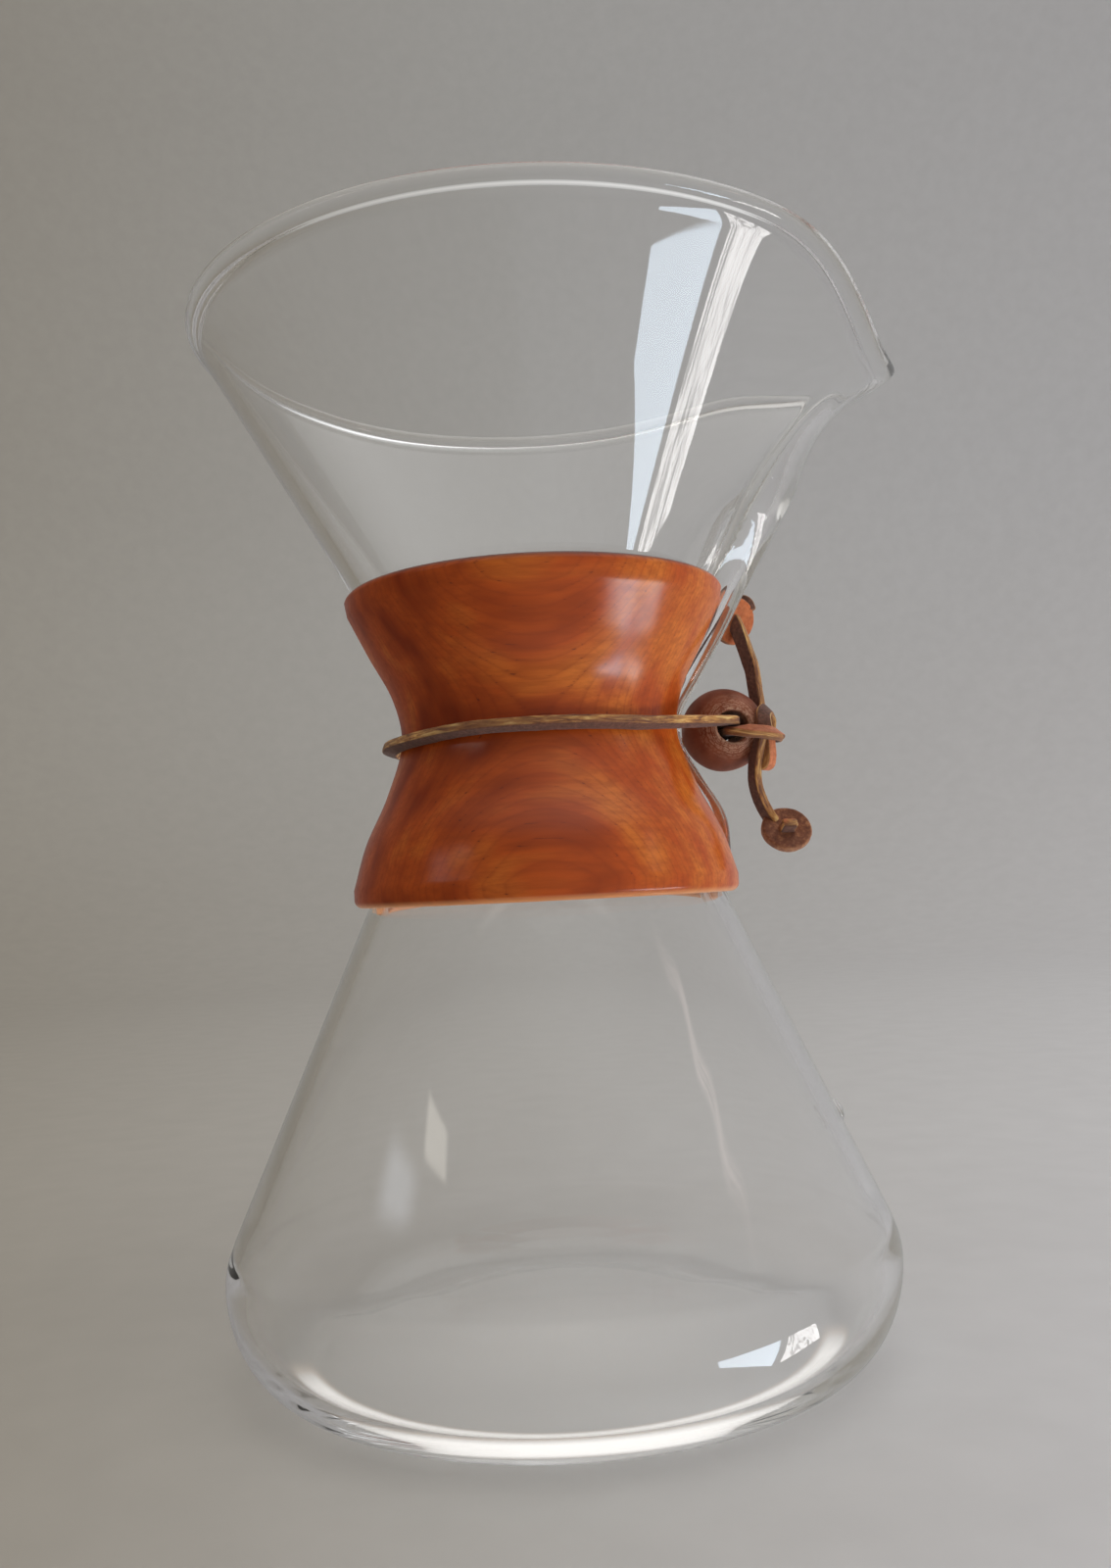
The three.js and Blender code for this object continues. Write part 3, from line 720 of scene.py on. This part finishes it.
knot_top = lace("knot_over", [
    (Vector((47.0, -0.6, 120.6)), Vector((-0.9, 0.1, 0))),
    (Vector((46.7, -1.8, 122.9)), Vector((-0.8, 0.1, -0.5))),
    (Vector((45.7, -3.6, 124.1)), Vector((-0.5, 0.5, -0.7))),
    (Vector((44.7, -5.4, 123.2)), Vector((-0.2, 0.9, -0.4))),
    (Vector((44.6, -6.3, 121.4)), Vector((-0.1, 1, 0))),
    (Vector((44.8, -6.3, 119.4)), Vector((-0.1, 1, 0))),
], seed=12.5)
knot_fold = lace("knot_fold", [
    (Vector((45.4, -5.3, 120.0)), Vector((0.8, -0.6, 0))),
    (Vector((45.6, -5.3, 117.5)), Vector((0.8, -0.6, 0))),
    (Vector((45.6, -5.3, 114.8)), Vector((0.8, -0.6, 0))),
    (Vector((45.35, -5.1, 113.4)), Vector((0.6, -0.45, -0.7))),
    (Vector((44.8, -4.65, 112.9)), Vector((0, 0, -1))),
    (Vector((44.2, -4.2, 113.4)), Vector((-0.6, 0.45, -0.7))),
    (Vector((43.95, -4.0, 114.8)), Vector((-0.8, 0.6, 0))),
    (Vector((44.0, -4.0, 118)), Vector((-0.8, 0.6, 0))),
], seed=15.1)
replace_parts(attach(knot_top, "root"), "thong_knot")
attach(knot_fold, "root")


# ---------------------------------------------------------------- tails and discs

upper_tail = lace("lace_tail_upper", [
    (Vector((47.0, 0.2, 120.6)), Vector((0.9, 0.2, 0))),
    (Vector((46.2, 1.7, 122.3)), Vector((0.85, 0.4, 0))),
    (Vector((45.4, 2.7, 124.6)), Vector((0.82, 0.57, 0))),
    (Vector((45.1, 3.1, 127.4)), Vector((0.82, 0.57, 0))),
    (Vector((44.9, 3.5, 130.2)), Vector((0.82, 0.57, 0))),
    (Vector((44.6, 4.2, 134)), Vector((0.75, 0.65, 0.1))),
    (Vector((43.7, 5.1, 138)), Vector((0.65, 0.75, 0.2))),
    (Vector((42.8, 6.2, 141.8)), Vector((0.5, 0.8, 0.1))),
    (Vector((41.9, 7.8, 144.9)), Vector((0.6, 0.6, -0.4))),
    (Vector((41.6, 9.7, 146.8)), Vector((0.7, 0.3, -0.6))),
    (Vector((42.9, 10.3, 148.6)), Vector((0.6, 0.6, -0.5))),
    (Vector((44.6, 9.6, 149)), Vector((0.3, 0.9, -0.2))),
    (Vector((45.3, 8.9, 147.6)), Vector((-0.3, 0.9, -0.3))),
    (Vector((45.4, 8.8, 147.1)), Vector((-0.3, 0.9, -0.3))),
], seed=18.4)
lower_tail = lace("lace_tail_lower", [
    (Vector((43.7, -6.4, 118.8)), Vector((0.92, 0.39, 0))),
    (Vector((43.3, -5.9, 117)), Vector((0.92, 0.39, 0))),
    (Vector((42.9, -5.2, 114.8)), Vector((0.92, 0.39, 0))),
    (Vector((42.6, -4.7, 112.4)), Vector((0.92, 0.39, 0))),
    (Vector((42.6, -4.3, 109.6)), Vector((0.9, 0.42, 0.1))),
    (Vector((43.3, -3.8, 106.8)), Vector((0.85, 0.45, 0.3))),
    (Vector((44.4, -3.1, 104.3)), Vector((0.75, 0.45, 0.5))),
    (Vector((46.0, -2.0, 101.9)), Vector((0.6, 0.4, 0.7))),
    (Vector((47.7, -1.4, 100.0)), Vector((0.5, 0.5, 0.7))),
    (Vector((48.4, -2.6, 99.5)), Vector((0.2, 0.5, 0.9))),
    (Vector((48.4, -4.6, 100.4)), Vector((0, 0.5, 0.86))),
    (Vector((48.6, -7.0, 101.4)), Vector((0, 0.3, 0.95))),
], seed=21.9)
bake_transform(upper_tail)
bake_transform(lower_tail)
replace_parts(upper_tail, "thong_tail_upper")
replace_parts(lower_tail, "thong_tail_lower")


def leather_disc(name, disc, seed):
    """A cut leather disc, its edge rounded and its middle pulled in by the thong."""
    centre, normal = disc
    turn = normal.to_track_quat("Z", "X").to_matrix()
    half = DISC_THICKNESS / 2
    flat_radius, flat_height = DISC_RADIUS - DISC_CORNER, half - DISC_CORNER
    profile = [(r, half) for r in np.linspace(0.6, flat_radius, 12)]
    profile += [(flat_radius + DISC_CORNER * math.sin(a), flat_height + DISC_CORNER * math.cos(a))
                for a in np.linspace(0.2, math.pi / 2, 6)]
    profile += [(DISC_RADIUS, 0)]
    profile += [(r, -z) for r, z in profile[-2::-1]]
    steps = 72
    vertices, sides, runs = [], [], []
    for r, z in profile:
        for b in np.linspace(0, 2 * math.pi, steps, endpoint=False):
            wander = noise.noise(Vector((math.cos(b) * 1.1, math.sin(b) * 1.1, seed)))
            rough = noise.noise(Vector((math.cos(b) * 6, math.sin(b) * 6, seed + z)))
            reach = r * (1 + 0.035 * wander) + (0.05 * rough if r > DISC_RADIUS - 1 else 0)
            dish = 0.45 * math.exp(-((r / 2.2) ** 2)) * (1 if z > 0 else -1)
            warp = 0.35 * noise.noise(Vector((r * math.cos(b) * 0.16, r * math.sin(b) * 0.16, seed + 5)))
            local = Vector((reach * math.cos(b), reach * math.sin(b), z - dish + warp))
            vertices.append(centre + turn @ local)
            face = smoothstep(abs(z), 0.62, 0.95)
            sides.append((face if z > 0 else 0, face if z < 0 else 0, 0, 1))
            runs.append((0, 0, 0))
    faces = grid_faces(len(profile), steps, closed_columns=True)
    last = (len(profile) - 1) * steps
    faces += [tuple(range(steps)), tuple(range(last, last + steps))[::-1]]
    piece = new_piece(name, vertices, [f[::-1] for f in faces], DISC_LEATHER)
    paint_lace(piece, sides, runs)
    return piece


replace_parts(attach(leather_disc("stopper_upper", UPPER_DISC, 2.5), "upper_tail"), "disc_upper")
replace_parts(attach(leather_disc("stopper_lower", LOWER_DISC, 6.5), "lower_tail"), "disc_lower")


# ---------------------------------------------------------------- stage, lights and camera

def studio():
    """A pale floor that sweeps up into a round wall far from the object, with shade and light painted on it.
    """
    material, tree, shader = new_material("studio_paper", Roughness=0.9, Specular_IOR_Level=0.1)
    place = node(tree, "TexCoord").outputs["Object"]
    split = node(tree, "SeparateXYZ", {0: place})
    # Painted shade: the paper is warmer and darker on the left, away from the windows
    ahead = calc(tree, "ADD", split.outputs[1], FAN_CENTRE)
    fan = node(tree, "CombineXYZ", {0: split.outputs[0], 1: ahead}).outputs[0]
    fan = node(tree, "VectorMath", {0: fan}, operation="NORMALIZE").outputs[0]
    fan = node(tree, "SeparateXYZ", {0: fan}).outputs[0]
    fan = node(tree, "MapRange", {0: fan, 1: -0.435, 2: 0.435}).outputs[0]
    paper = ramp(
        tree, fan,
        (0.0, (0.395, 0.362, 0.31)), (0.5, (0.54, 0.53, 0.515)), (1.0, (0.69, 0.69, 0.715)),
    )
    # Painted shade: the paper grows darker higher up the wall
    height = node(tree, "MapRange", {0: split.outputs[2], 1: 0.0, 2: 1.3}).outputs[0]
    paper = mixed(tree, 1.0, paper, ramp(tree, height, (0.0, 1.0), (1.0, 0.84)), "MULTIPLY")
    mottle = ramp(tree, scaled_noise(tree, place, 60, 3.0, 0.5), (0.3, 0.96), (0.7, 1.0))
    paper = mixed(tree, 1.0, paper, mottle, "MULTIPLY")
    # Light that the glass gathers under the base
    away = node(tree, "VectorMath", {0: place}, operation="LENGTH").outputs["Value"]
    under = node(tree, "MapRange", {0: away, 1: 0.0, 2: 0.062, 3: 0.7, 4: 0.0}).outputs[0]
    tree.links.new(mixed(tree, under, paper, (0.95, 0.93, 0.9, 1)), shader.inputs["Base Color"])
    profile = [(r, 0) for r in np.linspace(20, FLOOR_RADIUS - 40, 10)]
    profile += [(FLOOR_RADIUS + COVE * math.sin(a), COVE - COVE * math.cos(a))
                for a in np.linspace(0, math.pi / 2, 24)]
    profile += [(FLOOR_RADIUS + COVE, WALL_TOP)]
    steps = 96
    vertices = [(r * math.cos(b), r * math.sin(b), z - 0.05) for r, z in profile
                for b in np.linspace(0, 2 * math.pi, steps, endpoint=False)]
    faces = [f[::-1] for f in grid_faces(len(profile), steps, closed_columns=True)]
    faces.append(tuple(range(steps)))
    floor = new_piece("studio_floor", vertices, faces, material)
    floor.visible_glossy = floor.visible_shadow = False  # the windows shine and mirror from below it


def gathered_light():
    """The bright crescent of light that shows through the front of the thick base corner."""
    material = bpy.data.materials.new("gathered_light")
    material.use_nodes = True
    tree = material.node_tree
    tree.nodes.remove(tree.nodes["Principled BSDF"])
    glow = node(tree, "Attribute", attribute_name="glow")
    colour = ramp(tree, glow.outputs["Fac"], (0.0, (1.0, 0.72, 0.5)), (0.5, (1.0, 0.97, 0.93)))
    bright = node(tree, "Emission", {"Color": colour, "Strength": 1.15})
    clear = node(tree, "BsdfTransparent")
    either = node(tree, "MixShader", {0: glow.outputs["Fac"], 1: clear.outputs[0], 2: bright.outputs[0]})
    tree.links.new(either.outputs[0], tree.nodes["Material Output"].inputs["Surface"])
    rings, steps = 14, 100
    vertices, glows = [], []
    for share in np.linspace(0, 1, rings):
        for a in np.linspace(-1, 1, steps):
            r = 49 + 9 * share
            angle = math.radians(-86 + 84 * a)
            vertices.append((r * math.cos(angle), r * math.sin(angle), -0.03))
            along = 1 - smoothstep(abs(a), 0.72, 1.0)
            glows.append(along * smoothstep(share, 0, 0.35) * (1 - smoothstep(share, 0.7, 1)))
    made = new_piece("gathered_light", vertices, grid_faces(rings, steps), material)
    made.data.attributes.new("glow", "FLOAT", "POINT").data.foreach_set("value", np.array(glows, np.float32))
    made.visible_camera = made.visible_diffuse = made.visible_glossy = made.visible_shadow = False


def lamp(name, place, target, width, height, power, colour):
    """A soft rectangular lamp that lights the scene without being seen in the glass."""
    data = bpy.data.lights.new(name, "AREA")
    data.shape = "RECTANGLE"
    data.size, data.size_y = width, height
    data.energy = power
    data.color = colour
    made = bpy.data.objects.new(name, data)
    made.location = place
    made.rotation_euler = (Vector(target) - Vector(place)).to_track_quat("-Z", "Y").to_euler()
    made.visible_camera = made.visible_glossy = made.visible_transmission = False
    bpy.context.scene.collection.objects.link(made)


def window(name, corners, colour, strength, folds=0.0, soft=0.03, wave=0.0):
    """A glowing pane far away that the glass and the wood mirror.

    corners are (azimuth, elevation) in degrees as seen from the object, from the top left one
    clockwise; azimuth 0 is +X and 90 is the front. folds makes it look curtained, soft is how
    far its edges fade and wave is how many degrees its sides wander.
    """
    material = bpy.data.materials.new(name)
    material.use_nodes = True
    tree = material.node_tree
    tree.nodes.remove(tree.nodes["Principled BSDF"])
    run = node(tree, "Attribute", attribute_name="pane").outputs["Vector"]
    pleats = scaled_noise(tree, run, 4.5, 3.0, 0.6, (1, 0.3, 1), 1.0)
    cloth = ramp(tree, pleats, (0.38, 1 - folds), (0.5, 1.0), (0.55, 1 - 0.8 * folds), (0.62, 1.0))
    place = node(tree, "SeparateXYZ", {0: run})
    inside = 1.0
    for axis in (0, 1):
        for edge in (place.outputs[axis], calc(tree, "SUBTRACT", 1.0, place.outputs[axis])):
            fade = node(tree, "MapRange", {0: edge, 1: 0.0, 2: soft}, interpolation_type="SMOOTHSTEP")
            inside = calc(tree, "MULTIPLY", inside, fade.outputs[0])
    glow = node(tree, "Emission", {
        "Color": (*colour, 1), "Strength": calc(tree, "MULTIPLY", cloth, strength),
    })
    clear = node(tree, "BsdfTransparent")
    either = node(tree, "MixShader", {0: inside, 1: clear.outputs[0], 2: glow.outputs[0]})
    tree.links.new(either.outputs[0], tree.nodes["Material Output"].inputs["Surface"])
    steps = 24
    vertices, places = [], []
    for v in np.linspace(0, 1, steps):
        for u in np.linspace(0, 1, steps):
            top = np.array(corners[0]) * (1 - u) + np.array(corners[1]) * u
            bottom = np.array(corners[3]) * (1 - u) + np.array(corners[2]) * u
            azimuth, elevation = top * (1 - v) + bottom * v
            azimuth += wave * noise.noise(Vector((v * 5, 3, 0)))
            aside = Matrix.Rotation(-math.radians(azimuth), 3, "Z")
            up = Matrix.Rotation(-math.radians(elevation), 3, "Y")
            vertices.append(aside @ up @ Vector((WINDOW_DISTANCE, 0, 0)))
            places.append((u, v, 0))
    pane = new_piece(name, vertices, grid_faces(steps, steps), material)
    stored = pane.data.attributes.new("pane", "FLOAT_VECTOR", "POINT")
    stored.data.foreach_set("vector", np.array(places, np.float32).ravel())
    pane.visible_camera = pane.visible_transmission = False


studio()
gathered_light()
window("window_left", [(42, -27), (19, -20.5), (16.5, -35), (40, -31)], (0.74, 0.87, 1.0), 12)
window("window_right", [(16.5, -20), (6, -16), (0, -25), (14, -34)], (1.0, 0.98, 0.97), 15, folds=0.85)
window(
    "curtain_edge", [(20.5, 38), (12.5, 38), (14, 22), (22, 22)], (1.0, 0.84, 0.8), 3.6,
    folds=0.7, soft=0.4, wave=9,
)
window("side_light", [(154, 33), (139, 34), (136, 32), (150, 30.5)], (1.0, 0.95, 0.84), 4, soft=0.2)
window("side_sky", [(170, 28), (146, 31), (146, 28), (168, 23)], (0.84, 0.9, 1.0), 3.2, soft=0.4)
lamp("ceiling", (0.5, -0.5, 1.5), (0, 0, 0.1), 1.4, 1.4, 6, (1.0, 0.98, 0.95))
lamp("window_light", (0.9, -0.32, -0.3), (0, 0, 0.12), 0.5, 0.4, 2.5, (0.95, 0.97, 1.0))


def soft_room():
    """An even light from all round, cooler and brighter on the right."""
    world = bpy.data.worlds.new("soft_room")
    world.use_nodes = True
    tree = world.node_tree
    toward = node(tree, "SeparateXYZ", {0: node(tree, "TexCoord").outputs["Generated"]})
    rightward = toward.outputs[0]
    sky = ramp(
        tree, node(tree, "MapRange", {0: rightward, 1: -1.0, 2: 1.0}).outputs[0],
        (0.0, (0.52, 0.48, 0.42)), (0.5, (0.68, 0.67, 0.65)), (1.0, (0.84, 0.86, 0.88)),
    )
    # What the glass and the wood mirror is dim at the sides, most on the left, and bright
    # above and below
    upright = calc(tree, "ABSOLUTE", toward.outputs[2])
    in_mirror = node(tree, "MapRange", {0: upright, 1: 0.62, 2: 0.85, 3: 0.5, 4: 1.6}).outputs[0]
    fade = node(tree, "MapRange", {0: rightward, 1: -1.0, 2: 0.4, 3: 0.35, 4: 1.0}).outputs[0]
    in_mirror = calc(tree, "MULTIPLY", in_mirror, fade)
    mirrored = node(tree, "LightPath").outputs["Is Glossy Ray"]
    strength = node(tree, "MapRange", {0: mirrored, 3: 1.1, 4: in_mirror}).outputs[0]
    tree.links.new(sky, tree.nodes["Background"].inputs["Color"])
    tree.links.new(strength, tree.nodes["Background"].inputs["Strength"])
    bpy.context.scene.world = world


soft_room()
bpy.context.scene.view_settings.view_transform = "Standard"
cycles = bpy.context.scene.cycles
cycles.max_bounces = cycles.glossy_bounces = cycles.transmission_bounces = 96
cycles.transparent_max_bounces = 24

CAMERA_PLACE = Vector((0, -0.27305, 0.09101))
CAMERA_YAW, CAMERA_PITCH, CAMERA_ROLL = (math.radians(a) for a in (0.58, 4.33, -2.78))


def camera():
    """The photograph's view: just below the collar, looking slightly up, a little rolled."""
    data = bpy.data.cameras.new("main_camera")
    data.lens, data.sensor_width = 31.02, 36
    data.clip_start = 0.01
    made = bpy.data.objects.new("main_camera", data)
    ahead = Vector((
        math.sin(CAMERA_YAW) * math.cos(CAMERA_PITCH), math.cos(CAMERA_YAW) * math.cos(CAMERA_PITCH),
        math.sin(CAMERA_PITCH),
    ))
    level = ahead.cross(UP).normalized()
    over = level.cross(ahead)
    right = math.cos(CAMERA_ROLL) * level + math.sin(CAMERA_ROLL) * over
    above = math.cos(CAMERA_ROLL) * over - math.sin(CAMERA_ROLL) * level
    turn = Matrix((right, above, -ahead)).transposed().to_4x4()
    made.matrix_world = Matrix.Translation(CAMERA_PLACE) @ turn
    bpy.context.scene.collection.objects.link(made)
    bpy.context.scene.camera = made


camera()
